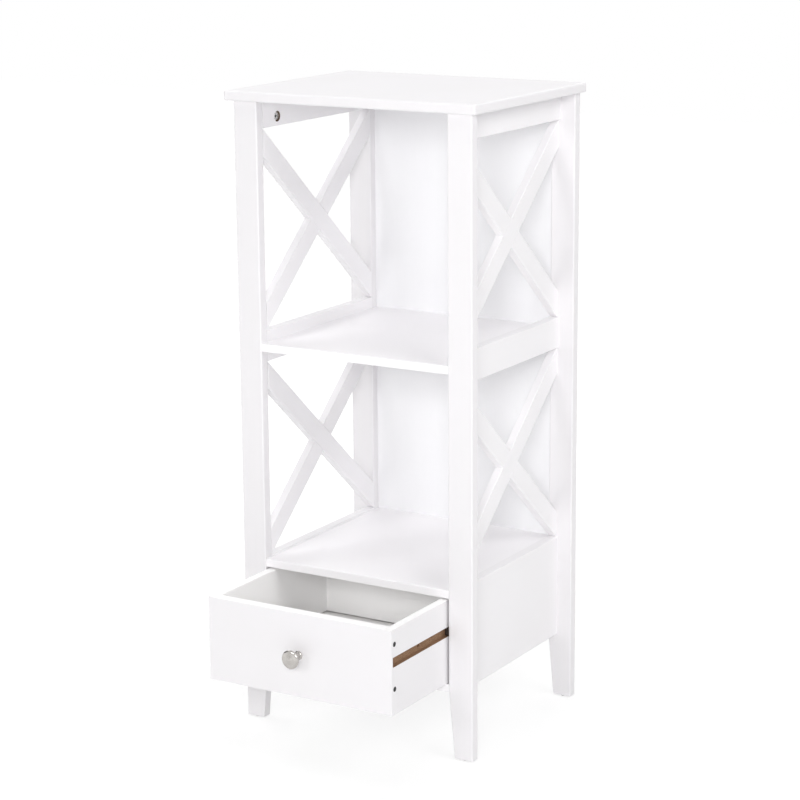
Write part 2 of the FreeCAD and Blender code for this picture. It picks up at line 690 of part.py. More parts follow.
# Knob with its foot plate, narrow neck and flared head, and the screw that holds it from inside the drawer.
knob_level = drawer_under + drawer_height / 2
knob_screw_radius = S.knob_screw_bore / 2
knob = new_body("drawer_knob_blank")
drawing = new_sketch(knob, "Profile", "XZ_Plane")
rim_level = S.knob_reach - S.knob_crown
head_level = rim_level - S.knob_rim
chain = [
    (ZERO, S.knob_reach), (ZERO, ZERO), (S.knob_foot / 2, ZERO), (S.knob_foot / 2, S.knob_foot_thick),
    (S.knob_neck / 2, S.knob_foot_thick + S.knob_foot_thick / 2),
    (S.knob_neck / 2, S.knob_reach - S.knob_flare), (S.knob_bore / 2, head_level),
    (S.knob_bore / 2, rim_level)]
for a, b in zip(chain, chain[1:]):
    start = Vector(a[0].value, a[1].value, 0)
    stop = Vector(b[0].value, b[1].value, 0)
    drawing.addGeometry(Part.LineSegment(start, stop), False)
crown_radius = (S.knob_bore.value ** 2 / 4 + S.knob_crown.value ** 2) / (2 * S.knob_crown.value)
crown_middle = Vector(0, S.knob_reach.value - crown_radius, 0)
crown_start = math.atan2(rim_level.value - crown_middle.y, S.knob_bore.value / 2)
crown_circle = Part.Circle(crown_middle, Vector(0, 0, 1), crown_radius)
drawing.addGeometry(Part.ArcOfCircle(crown_circle, crown_start, math.pi / 2), False)
last = len(chain) - 1
for i in range(last - 1):
    drawing.addConstraint(Sketcher.Constraint("Coincident", i, 2, i + 1, 1))
drawing.addConstraint(Sketcher.Constraint("Coincident", last - 1, 2, last, 1))
drawing.addConstraint(Sketcher.Constraint("Coincident", last, 2, 0, 1))
drawing.addConstraint(Sketcher.Constraint("PointOnObject", last, 3, -2))
drawing.addConstraint(Sketcher.Constraint("Vertical", 0))
drawing.addConstraint(Sketcher.Constraint("Coincident", 1, 1, -1, 1))
dimension(drawing, "DistanceY", 0, 1, S.knob_reach)
drawing.addConstraint(Sketcher.Constraint("Horizontal", 1))
drawing.addConstraint(Sketcher.Constraint("Vertical", 2))
drawing.addConstraint(Sketcher.Constraint("Vertical", 4))
drawing.addConstraint(Sketcher.Constraint("Vertical", 6))
dimension(drawing, "DistanceX", 2, 1, chain[2][0])
dimension(drawing, "DistanceY", 3, 1, chain[3][1])
dimension(drawing, "DistanceX", 4, 1, chain[4][0])
dimension(drawing, "DistanceY", 4, 1, chain[4][1])
dimension(drawing, "DistanceY", 5, 1, chain[5][1])
dimension(drawing, "DistanceX", 6, 1, chain[6][0])
dimension(drawing, "DistanceY", 6, 1, chain[6][1])
dimension(drawing, "DistanceY", 6, 2, chain[7][1])
turning = knob.newObject("PartDesign::Revolution", "Turning")
turning.Profile = drawing
turning.ReferenceAxis = (drawing, ["V_Axis"])
turning.Angle = 360


def rim(edge):
    """The two edges of the knob's rim."""
    return abs(edge.BoundBox.XLength - S.knob_bore.value) < 0.01 and edge.BoundBox.ZLength < 0.01


round_edges(knob, turning, S.knob_rim / 3, rim)
place(knob, (0, drawer_face, knob_level), AGAINST_Y)

knob_screw_seat = drawer_face + S.drawer_front_thick
knob_screw_end = S.drawer_front_thick + S.knob_screw_grip
head_radius = S.knob_screw_head / 2
knob_screw = turned("knob_screw", [
    (0, knob_screw_end), (knob_screw_radius, knob_screw_end), (knob_screw_radius, 0), (head_radius, 0),
    (head_radius, -S.knob_screw_head_depth / 2), (head_radius / 2, -S.knob_screw_head_depth),
    (0, -S.knob_screw_head_depth)])
place(knob_screw, (0, knob_screw_seat, knob_level), AGAINST_Y)
keep(knob_screw, "knob_screw")
hole_radius = knob_screw_radius + S.screw_fit
knob_screw_hole = turned("knob_screw_hole", [
    (0, knob_screw_end + S.screw_fit), (hole_radius, knob_screw_end + S.screw_fit), (hole_radius, 0), (0, 0)])
place(knob_screw_hole, (0, knob_screw_seat, knob_level), AGAINST_Y)
cut("drawer_knob", knob, [knob_screw_hole])

front = board(
    "drawer_front_blank", (drawer_inside * 2, S.drawer_front_thick, drawer_height),
    (-drawer_inside, drawer_face, drawer_under), S.board_ease, upper_edges)
cut("drawer_front", front, [floor_slot, drawer_screw_holes, knob_screw_hole])
rear = board(
    "drawer_back_blank", (drawer_inside * 2, S.drawer_back_thick, drawer_height),
    (-drawer_inside, drawer_rear - S.drawer_back_thick, drawer_under), S.board_ease, upper_edges)
cut("drawer_back", rear, [floor_slot, drawer_screw_holes])

doc.recompute()

for thing in doc.Objects:
    if "Invalid" in thing.State or "Error" in thing.State:
        raise RuntimeError(f"{thing.Label} failed: {thing.State}")
for node in NODES:
    if node.Shape.isNull() or not node.Shape.isValid() or not node.Shape.Solids:
        raise RuntimeError(f"{node.Label} has no valid solid")

os.makedirs("parts", exist_ok=True)
for node in NODES:
    node.Shape.exportStep(f"parts/{node.Label}.step")
    print(node.Label, len(node.Shape.Solids), round(node.Shape.Volume, 1))
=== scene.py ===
import math

import bpy
from mathutils import Matrix, Vector


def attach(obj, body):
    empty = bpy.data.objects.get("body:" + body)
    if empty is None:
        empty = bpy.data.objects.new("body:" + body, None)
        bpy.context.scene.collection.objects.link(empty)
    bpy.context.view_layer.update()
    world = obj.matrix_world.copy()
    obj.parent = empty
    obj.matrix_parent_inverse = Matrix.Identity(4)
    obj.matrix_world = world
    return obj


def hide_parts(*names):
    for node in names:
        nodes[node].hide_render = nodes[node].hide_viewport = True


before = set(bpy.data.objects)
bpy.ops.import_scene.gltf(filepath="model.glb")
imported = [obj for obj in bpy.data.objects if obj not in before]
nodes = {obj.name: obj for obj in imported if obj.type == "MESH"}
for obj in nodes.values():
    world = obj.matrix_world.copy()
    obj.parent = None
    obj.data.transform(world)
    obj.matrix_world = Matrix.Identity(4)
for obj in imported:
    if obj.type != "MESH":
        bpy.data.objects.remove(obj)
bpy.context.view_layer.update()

MM = 0.001
MM_PER_METRE = 1000.0
HANDS = ("left", "right")
BOTH_WAYS = (1, -1)

# Places on the unit, in millimetres, that the finishes and the added pieces follow.
RAIL_INNER_FACE = 152.0
CAM_FACE = 154.5
CAM_ALONG = 105.5
CAM_LEVEL = 880.5
CAM_SEAT_RADIUS = 7.6
SHELF_UNDERSIDES = (97.0, 234.0, 552.0)
SHELF_CAM_ACROSS = 126.5
SHELF_CAM_ALONG = 100.0
DRAWER_FACE = -304.5
DRAWER_OUTER = 149.0
DRAWER_INNER = 137.0
DRAWER_FRONT_INNER = -289.5
DRAWER_BACK_INNER = -20.5
DRAWER_TOP = 232.0
FLOOR_SLOT = (126.5, 131.1)
GROOVE_UNDER = 178.5
GROOVE_TOP = 192.5
SCREW_ROWS = (-297.0, -14.5)
SCREW_LEVELS = (210.5, 147.0)
KNOB_LEVEL = 171.25
RUNNER_START = -153.0
BRACE_ANGLE = math.radians(41.08)

# How far bare board reaches at each cut, and other edges between two colours of a piece, in millimetres.
GROOVE_EDGE = 0.25
GROOVE_DEPTHS = (0.12, 11.0)
GROOVE_STOP = 2.7
SLOT_EDGE = 0.1
SLOT_DEPTH = 6.5
SEAT_EDGE = 0.25
SEAT_DEPTHS = (0.15, 12.6)
INNER_EDGE = 0.3
UPPER_EDGE = 0.4
RUNNER_END = 0.3


class Value:
    """A number that varies over a surface. Arithmetic on it adds Math nodes to its finish."""

    def __init__(self, finish, socket):
        self.finish = finish
        self.socket = socket

    def __add__(self, other):
        return self.finish.math("ADD", self, other)

    def __radd__(self, other):
        return self.finish.math("ADD", other, self)

    def __sub__(self, other):
        return self.finish.math("SUBTRACT", self, other)

    def __rsub__(self, other):
        return self.finish.math("SUBTRACT", other, self)

    def __mul__(self, other):
        return self.finish.math("MULTIPLY", self, other)

    def __rmul__(self, other):
        return self.finish.math("MULTIPLY", other, self)

    def __gt__(self, other):
        return self.finish.math("GREATER_THAN", self, other)

    def __lt__(self, other):
        return self.finish.math("LESS_THAN", self, other)

    def __abs__(self):
        return self.finish.math("ABSOLUTE", self)


class Finish:
    """A material for one kind of surface, or the walls of the room, with the nodes that make it."""

    def __init__(self, name, walls=False):
        self.holder = bpy.data.worlds.new(name) if walls else bpy.data.materials.new(name)
        self.holder.use_nodes = True
        self.tree = self.holder.node_tree
        self.tree.nodes.clear()
        self.output = self.tree.nodes.new("ShaderNodeOutputWorld" if walls else "ShaderNodeOutputMaterial")

    def node(self, kind, settings=None, sockets=None, out=0):
        """Adds a node: its settings come first, then the values or links of its sockets."""
        made = self.tree.nodes.new(kind)
        for key, setting in (settings or {}).items():
            setattr(made, key, setting)
        for key, value in (sockets or {}).items():
            if isinstance(value, Value):
                self.tree.links.new(value.socket, made.inputs[key])
            else:
                made.inputs[key].default_value = value
        return Value(self, made.outputs[out])

    def several(self, first, names):
        """Several outputs of the node that the first value comes from."""
        outputs = first.socket.node.outputs
        return [Value(self, outputs[name]) for name in names]

    def math(self, operation, *values):
        return self.node("ShaderNodeMath", {"operation": operation}, dict(enumerate(values)))

    def spot(self):
        """The place on the piece, in metres."""
        return self.node("ShaderNodeTexCoord", out="Object")

    def axes(self):
        """The place on the piece as three numbers, in millimetres."""
        first = self.node("ShaderNodeSeparateXYZ", None, {"Vector": self.spot()})
        return [part * MM_PER_METRE for part in self.several(first, "XYZ")]

    def seen(self):
        """1 for what is seen, straight, in a mirror or through glass, and 0 for light that bounces."""
        first = self.node("ShaderNodeLightPath")
        straight, mirrored, through = self.several(
            first, ("Is Camera Ray", "Is Glossy Ray", "Is Transmission Ray"))
        return self.math("MINIMUM", straight + mirrored + through, 1.0)

    def noise(self, coordinates, detail, rough):
        return self.node("ShaderNodeTexNoise", None, {
            "Vector": coordinates, "Scale": 1.0, "Detail": detail, "Roughness": rough})

    def grain(self, lengths, detail=3.0, rough=0.6, turn=(0, 0, 0)):
        """Noise with the given length in metres along each axis of the turned piece."""
        coordinates = self.node("ShaderNodeMapping", {"vector_type": "TEXTURE"}, {
            "Vector": self.spot(), "Rotation": turn, "Scale": lengths})
        return self.noise(coordinates, detail, rough)

    def mottle(self, length, detail=2.0, rough=0.5):
        """Noise with one length in metres along all axes."""
        return self.grain((length, length, length), detail, rough)

    def mix(self, share, first, second):
        return self.node("ShaderNodeMix", {"data_type": "RGBA"}, {0: share, 6: first, 7: second}, out=2)

    def soft_step(self, value, low, high):
        return self.node("ShaderNodeMapRange", {"interpolation_type": "SMOOTHSTEP"}, {
            "Value": value, "From Min": low, "From Max": high})

    def shade(self, first, second, share, low=0.3, high=0.7):
        """A soft step over two figures, of which the first has the given share."""
        return self.soft_step(first * share + second * (1.0 - share), low, high)

    def between(self, value, low, high):
        return (value > low) * (value < high)

    def bump(self, height, strength, distance):
        return self.node("ShaderNodeBump", None, {
            "Height": height, "Strength": strength, "Distance": distance})

    def show(self, shader):
        """Gives the surface its shader."""
        self.tree.links.new(shader.socket, self.output.inputs["Surface"])
        return self.holder

    def surface(self, **sockets):
        """The usual shader, with its sockets named in lower case and underscores."""
        named = {key.replace("_", " ").title(): value for key, value in sockets.items()}
        return self.show(self.node("ShaderNodeBsdfPrincipled", None, named))


def tint(red, green, blue):
    return (red, green, blue, 1.0)


def grey(level, warm=0.0):
    return tint(level * (1 + warm), level, level * (1 - warm))


# Colours of the finishes, each pair from the darker to the paler one.
# The whites are one satin paint at four levels: painted shade darkens the outer and side whites, painted
# light brightens the shelf white and the drawer's inside white.
SHADED_OUTER_WHITES = (tint(0.837, 0.823, 0.836), tint(0.850, 0.835, 0.853))
SHADED_SIDE_WHITES = (tint(0.896, 0.882, 0.895), tint(0.908, 0.895, 0.912))
LIT_SHELF_WHITES = (tint(0.948, 0.933, 0.947), tint(0.960, 0.946, 0.964))
LIT_INSIDE_WHITES = (tint(0.972, 0.963, 0.957), tint(0.980, 0.972, 0.967))
BACK_SHEET_WHITES = (tint(0.920, 0.921, 0.935), tint(0.935, 0.935, 0.948))
DRAWER_SHEET_WHITES = (tint(0.925, 0.920, 0.908), tint(0.950, 0.945, 0.935))
PALE_CUT = (tint(0.190, 0.107, 0.058), tint(0.340, 0.200, 0.114))
# The darker cut colour is bare board with painted shade, for the bores of the cam locks and the slots of
# the drawer's floor.
SHADED_CUT = (tint(0.060, 0.035, 0.020), tint(0.130, 0.080, 0.047))
WOOD_BROWNS = (tint(0.16, 0.092, 0.050), tint(0.30, 0.19, 0.105))
PORE_BROWN = tint(0.085, 0.048, 0.026)
END_GRAIN_AND_SHADE_BROWN = tint(0.030, 0.020, 0.016)
ZINC_GREYS = (grey(0.74, 0.01), grey(0.86, 0.01))
# Painted shade for the depths of a cam lock, behind its face.
RECESS_SHADE_ZINC = grey(0.05)
STEEL_GREYS = (grey(0.54), grey(0.66))
BLACK_STEEL_GREYS = (grey(0.035), grey(0.075))
NICKEL_GREYS = (grey(0.43, 0.05), grey(0.54, 0.04))
PLASTIC_GREYS = (grey(0.045), grey(0.10))

# Grain under the paint: its lengths in metres, and how much of it shows on each kind of piece.
GRAIN_LENGTH = 0.22
GRAIN_WIDTH = 0.0045
ALONG_X = (GRAIN_LENGTH, GRAIN_WIDTH, GRAIN_WIDTH)
ALONG_Y = (GRAIN_WIDTH, GRAIN_LENGTH, GRAIN_WIDTH)
ALONG_Z = (GRAIN_WIDTH, GRAIN_WIDTH, GRAIN_LENGTH)
BOARD_FIGURE = 0.35
BAR_FIGURE = 0.6
LEG_FIGURE = 0.8

# Roughness of the paint, and what bare board and the depth of a cam lock add to the roughness round them.
SATIN = 0.36
BARE_ROUGHER = 0.42
DULL_ROUGHER = 0.35


def raw_fibre(finish, colours):
    """Colour of bare fibreboard where a cutter has passed: short fibres and darker specks."""
    fibre = finish.grain((0.0012, 0.006, 0.0012), detail=4.0, rough=0.65)
    speck = finish.mottle(0.0008)
    return finish.mix(finish.shade(fibre, speck, 0.7, low=0.36, high=0.62), *colours)


def white_paint(name, whites, grain, turn=(0, 0, 0), figure=BOARD_FIGURE, raw=(), inside=None):
    """Satin white paint over board or wood, whose grain runs along the axis with the longest length.

    raw pairs functions with colours: each function gives the share of bare board, where a cutter has gone
    through the paint. inside(finish) gives the share of the drawer's inner faces and upper edges that take
    the brighter inside white as painted light."""
    finish = Finish(name)
    streak = finish.grain(grain, rough=0.55, turn=turn)
    cloud = finish.mottle(0.16)
    peel = finish.mottle(0.0016, detail=1.0, rough=0.4)
    shade = finish.shade(streak, cloud, 0.5 * figure)
    colour = finish.mix(shade, *whites)
    if inside is not None:
        # Painted light: a brighter white on the drawer's inner faces and upper edges.
        colour = finish.mix(inside(finish), colour, finish.mix(shade, *LIT_INSIDE_WHITES))
    rough = SATIN + cloud * 0.08 + streak * 0.06
    height = streak * (0.8 * figure) + peel * 0.35
    for cutter, colours in raw:
        bare = cutter(finish)
        colour = finish.mix(bare, colour, raw_fibre(finish, colours))
        rough = rough + bare * BARE_ROUGHER
    return finish.surface(
        base_color=colour, roughness=rough, normal=finish.bump(height, strength=0.12, distance=0.0004))


def groove_and_peg(finish):
    """Bare board in a drawer side's runner groove and in the hole of the groove's floor."""
    x, y, z = finish.axes()
    cut = finish.between(DRAWER_OUTER - abs(x), *GROOVE_DEPTHS)
    level = finish.between(z, GROOVE_UNDER - GROOVE_EDGE, GROOVE_TOP + GROOVE_EDGE)
    return cut * level * (y > DRAWER_FACE + GROOVE_STOP)


def floor_slots(finish):
    """Bare board in the slots that hold the drawer's floor, given the darker cut colour as painted shade in
    the gap.
    """
    x, y, z = finish.axes()
    level = finish.between(z, FLOOR_SLOT[0] - SLOT_EDGE, FLOOR_SLOT[1] + SLOT_EDGE)
    shares = []
    for reach in (SLOT_EDGE, SLOT_DEPTH):
        along = finish.between(y, DRAWER_FRONT_INNER - reach, DRAWER_BACK_INNER + reach)
        shares.append(along * (abs(x) < DRAWER_INNER + reach))
    return level * (shares[1] - shares[0])


def cam_seats(finish):
    """Bare board on the walls of the seats of the cam locks, given the darker cut colour as painted shade
    in the bore.
    """
    x, y, z = finish.axes()
    along = abs(y) - CAM_ALONG
    lift = z - CAM_LEVEL
    away = along * along + lift * lift
    cut = finish.between(abs(x) - RAIL_INNER_FACE, *SEAT_DEPTHS)
    return (away < (CAM_SEAT_RADIUS + SEAT_EDGE) ** 2) * cut


def lit_drawer_faces(finish):
    """The inner faces and the upper edges of the drawer's front and sides, which take a brighter white as
    painted light.
    """
    x, y, z = finish.axes()
    walls = (abs(x) < DRAWER_INNER + INNER_EDGE) * (y > DRAWER_FRONT_INNER - INNER_EDGE)
    return finish.math("MAXIMUM", walls, z > DRAWER_TOP - UPPER_EDGE)


# Paints: the outer and side whites carry painted shade; the shelf white and the drawer's inside white carry
# painted light.
top_paint = white_paint("top_paint", SHADED_OUTER_WHITES, ALONG_X)
shelf_paint = white_paint("shelf_paint", LIT_SHELF_WHITES, ALONG_X)
leg_paint = white_paint("leg_paint", SHADED_OUTER_WHITES, ALONG_Z, figure=LEG_FIGURE)
rail_paint = white_paint("rail_paint", SHADED_SIDE_WHITES, ALONG_Y, figure=BAR_FIGURE, raw=[(cam_seats, SHADED_CUT)])
panel_paint = white_paint("panel_paint", SHADED_SIDE_WHITES, ALONG_Y)
rising_paint = white_paint(
    "rising_brace_paint", SHADED_SIDE_WHITES, ALONG_Y, turn=(BRACE_ANGLE, 0, 0), figure=BAR_FIGURE)
falling_paint = white_paint(
    "falling_brace_paint", SHADED_SIDE_WHITES, ALONG_Y, turn=(-BRACE_ANGLE, 0, 0), figure=BAR_FIGURE)
drawer_front_paint = white_paint(
    "drawer_front_paint", SHADED_OUTER_WHITES, ALONG_X, raw=[(floor_slots, SHADED_CUT)], inside=lit_drawer_faces)
drawer_back_paint = white_paint("drawer_back_paint", LIT_INSIDE_WHITES, ALONG_X, raw=[(floor_slots, SHADED_CUT)])
drawer_side_paint = white_paint(
    "drawer_side_paint", SHADED_OUTER_WHITES, ALONG_Y,
    raw=[(groove_and_peg, PALE_CUT), (floor_slots, SHADED_CUT)], inside=lit_drawer_faces)


def faced_sheet(name, whites, pattern):
    """Thin hardboard faced with printed paper: even, a little glossier than paint, with faint mottling."""
    finish = Finish(name)
    cloud = finish.mottle(0.09, detail=3.0, rough=0.55)
    fibre = finish.grain(pattern)
    return finish.surface(
        base_color=finish.mix(finish.shade(cloud, fibre, 0.6), *whites),
        roughness=0.34 + fibre * 0.12,
        normal=finish.bump(fibre, strength=0.06, distance=0.0003))


back_sheet = faced_sheet("back_sheet", BACK_SHEET_WHITES, (0.003, 0.003, 0.03))
drawer_sheet = faced_sheet("drawer_sheet", DRAWER_SHEET_WHITES, (0.02, 0.003, 0.003))


def bare_wood(name):
    """Unpainted hardwood of runners and dowels: growth lines along Y, small pores, front ends near black
    from darker end grain and painted shade.
    """
    finish = Finish(name)
    line = finish.grain((0.0025, 0.12, 0.0025), detail=4.0)
    pore = finish.grain((0.0006, 0.008, 0.0006), detail=2.0, rough=0.5)
    colour = finish.mix(finish.soft_step(line, 0.32, 0.68), *WOOD_BROWNS)
    colour = finish.mix(finish.soft_step(pore, 0.58, 0.72) * 0.5, colour, PORE_BROWN)
    along = finish.axes()[1]
    # The front ends near black: darker end grain and painted shade.
    colour = finish.mix(along < RUNNER_START + RUNNER_END, colour, END_GRAIN_AND_SHADE_BROWN)
    return finish.surface(
        base_color=colour, roughness=0.62 + pore * 0.2,
        normal=finish.bump(pore + line, strength=0.2, distance=0.0003))


def rail_cam_depth(finish):
    """How far a place on a rail's cam lock lies behind the lock's face."""
    across = finish.axes()[0]
    return abs(across) - CAM_FACE


def shelf_cam_depth(finish):
    """How far a place on a shelf's cam lock lies above the lock's face."""
    height = finish.axes()[2]
    low, middle, high = SHELF_UNDERSIDES
    above_low = height > (low + middle) / 2
    above_middle = height > (middle + high) / 2
    return height - low - above_low * (middle - low) - above_middle * (high - middle)


def plain_metal(name, greys, lengths, rough, spread=0.14, depth=None):
    """Plated or cast metal, with a fine figure of the given lengths.

    depth(finish) gives the distance behind a lock's face, where painted shade darkens the casting and the
    casting is rougher."""
    finish = Finish(name)
    figure = finish.grain(lengths)
    stain = finish.mottle(0.004)
    colour = finish.mix(finish.shade(figure, stain, 0.5, low=0.32, high=0.68), *greys)
    roughness = rough + figure * spread
    if depth is not None:
        # Painted shade: the casting turns near black deeper than a millimetre behind the lock's face.
        recess_shade = finish.soft_step(depth(finish), 0.35, 1.1)
        colour = finish.mix(recess_shade, colour, RECESS_SHADE_ZINC)
        roughness = roughness + recess_shade * DULL_ROUGHER
    return finish.surface(
        base_color=colour, metallic=1.0, roughness=roughness,
        normal=finish.bump(figure, strength=0.15, distance=0.0001))


CAST_FIGURE = (0.0007, 0.0007, 0.0007)
DRAWN_FIGURE = (0.0005, 0.004, 0.0005)
BLACKED_FIGURE = (0.0005, 0.0005, 0.0005)

runner_wood = bare_wood("runner_wood")
rail_zinc = plain_metal("rail_cam_zinc", ZINC_GREYS, CAST_FIGURE, rough=0.14, depth=rail_cam_depth)
shelf_zinc = plain_metal("shelf_cam_zinc", ZINC_GREYS, CAST_FIGURE, rough=0.14, depth=shelf_cam_depth)
plated_steel = plain_metal("plated_steel", STEEL_GREYS, DRAWN_FIGURE, rough=0.26)
black_steel = plain_metal("black_steel", BLACK_STEEL_GREYS, BLACKED_FIGURE, rough=0.34, spread=0.2)


def turned_nickel(name):
    """Nickel of the knob, with fine rings of turning round its axis."""
    rings_per_mm = 2.2
    finish = Finish(name)
    x, y, z = finish.axes()
    lift = z - KNOB_LEVEL
    away = finish.math("SQRT", x * x + lift * lift)
    turning = finish.node("ShaderNodeCombineXYZ", None, {"X": away * rings_per_mm, "Y": y * rings_per_mm})
    ring = finish.noise(turning, detail=3.0, rough=0.6)
    stain = finish.mottle(0.006)
    return finish.surface(
        base_color=finish.mix(finish.shade(ring, stain, 0.6), *NICKEL_GREYS), metallic=1.0,
        roughness=0.10 + ring * 0.12, normal=finish.bump(ring, strength=0.12, distance=0.00012))


def moulded_plastic(name):
    """Grey moulded plastic of the foot glides, with pale scuffs."""
    finish = Finish(name)
    fine = finish.mottle(0.0007)
    scuff = finish.grain((0.012, 0.0016, 0.004))
    return finish.surface(
        base_color=finish.mix(finish.soft_step(scuff, 0.5, 0.72), *PLASTIC_GREYS),
        roughness=0.45 + fine * 0.2, normal=finish.bump(fine, strength=0.2, distance=0.0002))


nickel = turned_nickel("turned_nickel")
glide_plastic = moulded_plastic("glide_plastic")


def dress(name, material):
    """Gives a CAD node its finish."""
    mesh = nodes[name].data
    mesh.materials.clear()
    mesh.materials.append(material)


dress("top_board", top_paint)
for shelf in ("middle_shelf", "lower_shelf", "bottom_board"):
    dress(shelf, shelf_paint)
for hand in HANDS:
    for end in ("front", "rear"):
        dress(f"leg_{end}_{hand}", leg_paint)
    dress(f"upper_rail_{hand}", rail_paint)
    dress(f"middle_rail_{hand}", rail_paint)
    dress(f"side_panel_{hand}", panel_paint)
    for bay in ("upper", "lower"):
        dress(f"{bay}_{hand}_brace_rising", rising_paint)
        dress(f"{bay}_{hand}_brace_falling", falling_paint)
    dress(f"drawer_side_{hand}", drawer_side_paint)
    dress(f"drawer_runner_{hand}", runner_wood)
dress("back_panel", back_sheet)
dress("drawer_front", drawer_front_paint)
dress("drawer_back", drawer_back_paint)
dress("drawer_bottom", drawer_sheet)
dress("foot_glides", glide_plastic)
for group in ("side_frame_dowels", "top_dowels"):
    dress(group, runner_wood)
for group in ("cam_bolts", "back_panel_nails", "runner_screws", "knob_screw"):
    dress(group, plated_steel)


# Small turned and cast pieces, each modelled once at the origin with its axis along Z.
SMOOTH_ANGLE = math.radians(32)
AXIS_TO_FRONT = (math.pi / 2, 0, 0)


def only(piece):
    """Makes a piece the only selected one."""
    bpy.ops.object.select_all(action="DESELECT")
    piece.select_set(True)
    bpy.context.view_layer.objects.active = piece


def fix_place():
    """Puts the place, turn and size of the selected piece into its mesh."""
    bpy.ops.object.transform_apply(location=True, rotation=True, scale=True)


def twin_of(piece):
    """A copy of a piece with a mesh of its own."""
    twin = piece.copy()
    twin.data = piece.data.copy()
    bpy.context.scene.collection.objects.link(twin)
    return twin


def turned_piece(name, rings, sides, pointed=False):
    """A piece turned round Z. Each ring is a radius and a height in millimetres, from foot to face."""
    bpy.ops.object.select_all(action="DESELECT")
    radius, height = rings[0]
    bpy.ops.mesh.primitive_circle_add(
        vertices=sides, radius=radius * MM, fill_type="NGON", location=(0, 0, height * MM))
    piece = bpy.context.object
    piece.name = name
    fix_place()
    bpy.ops.object.mode_set(mode="EDIT")
    bpy.ops.mesh.select_all(action="SELECT")
    for (radius, height), (next_radius, next_height) in zip(rings, rings[1:]):
        bpy.ops.mesh.extrude_region_move(
            TRANSFORM_OT_translate={"value": (0, 0, (next_height - height) * MM)})
        share = next_radius / radius
        bpy.ops.transform.resize(value=(share, share, 1), center_override=(0, 0, next_height * MM))
    if pointed:
        bpy.ops.mesh.merge(type="CENTER")
    bpy.ops.mesh.select_all(action="SELECT")
    bpy.ops.mesh.normals_make_consistent(inside=False)
    bpy.ops.object.mode_set(mode="OBJECT")
    return piece


def slot_cutter(width, length, depth, narrowing):
    """A bar that cuts a slot down from a piece's face, narrower at its lower end. Millimetres."""
    bpy.ops.object.select_all(action="DESELECT")
    over = 1.0
    bpy.ops.mesh.primitive_cube_add(
        size=1, location=(0, 0, (over - depth) / 2 * MM),
        scale=(width * MM, length * MM, (depth + over) * MM))
    bar = bpy.context.object
    fix_place()
    bpy.ops.object.mode_set(mode="EDIT")
    bpy.ops.mesh.select_all(action="DESELECT")
    bpy.ops.object.mode_set(mode="OBJECT")
    for face in bar.data.polygons:
        face.select = face.normal.z < -0.5
    bpy.ops.object.mode_set(mode="EDIT")
    bpy.ops.mesh.select_mode(type="FACE")
    bpy.ops.transform.resize(value=(narrowing, narrowing, 1), center_override=(0, 0, 0))
    bpy.ops.object.mode_set(mode="OBJECT")
    return bar


def cross_cutters(width, length, depth, narrowing):
    """The two bars of a cross slot."""
    return [slot_cutter(width, length, depth, narrowing), slot_cutter(length, width, depth, narrowing)]


def cut_slots(piece, cutters):
    """Cuts each bar out of a piece."""
    for cutter in cutters:
        only(piece)
        cutting = piece.modifiers.new("slot", "BOOLEAN")
        cutting.operation = "DIFFERENCE"
        cutting.solver = "EXACT"
        cutting.object = cutter
        bpy.ops.object.modifier_apply(modifier=cutting.name)
        bpy.data.objects.remove(cutter)


def settle(piece, body, node, material):
    """Shades a finished piece and puts it in the place of a CAD node."""
    only(piece)
    bpy.ops.object.shade_smooth_by_angle(angle=SMOOTH_ANGLE)
    piece.data.materials.clear()
    piece.data.materials.append(material)
    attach(piece, body)
    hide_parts(node)


def set_out(name, pattern, places):
    """Copies a piece to each place, given as a spot in millimetres and a turn, and joins the copies."""
    made = []
    for spot, turn in places:
        twin = twin_of(pattern)
        twin.location = Vector(spot) * MM
        twin.rotation_mode = "QUATERNION"
        twin.rotation_quaternion = turn
        only(twin)
        fix_place()
        made.append(twin)
    bpy.data.objects.remove(pattern)
    only(made[0])
    for twin in made[1:]:
        twin.select_set(True)
    bpy.ops.object.join()
    made[0].name = name
    return made[0]


def facing(axis, side):
    """The turn that brings a piece's Z to the first way and its Y to the second."""
    z = Vector(axis)
    y = Vector(side)
    return Matrix((y.cross(z), y, z)).transposed().to_quaternion()


# Knob: foot plate, waisted neck, flared head with a rounded rim, and a shallow cone for its face.
KNOB_SIDES = 72
KNOB_RINGS = [
    (5.9, 0.0), (6.4, 0.3), (6.5, 0.9), (6.35, 1.6), (5.9, 2.0),
    (5.3, 2.5), (4.95, 3.4), (4.8, 5.5), (4.85, 8.5), (5.1, 11.0), (5.7, 13.0),
    (6.9, 14.9), (8.8, 16.6), (10.9, 17.9), (12.5, 18.9), (13.2, 19.7), (13.45, 20.5),
    (13.4, 21.2), (13.15, 21.85), (12.7, 22.35), (12.1, 22.7), (11.3, 22.95), (10.4, 23.15),
    (6.0, 24.1), (2.0, 24.95), (0.8, 25.2), (0.3, 25.25)]
knob = turned_piece("turned_knob", KNOB_RINGS, KNOB_SIDES, pointed=True)
knob.location = (0, DRAWER_FACE * MM, KNOB_LEVEL * MM)
knob.rotation_euler = AXIS_TO_FRONT
only(knob)
fix_place()
settle(knob, "drawer", "drawer_knob", nickel)

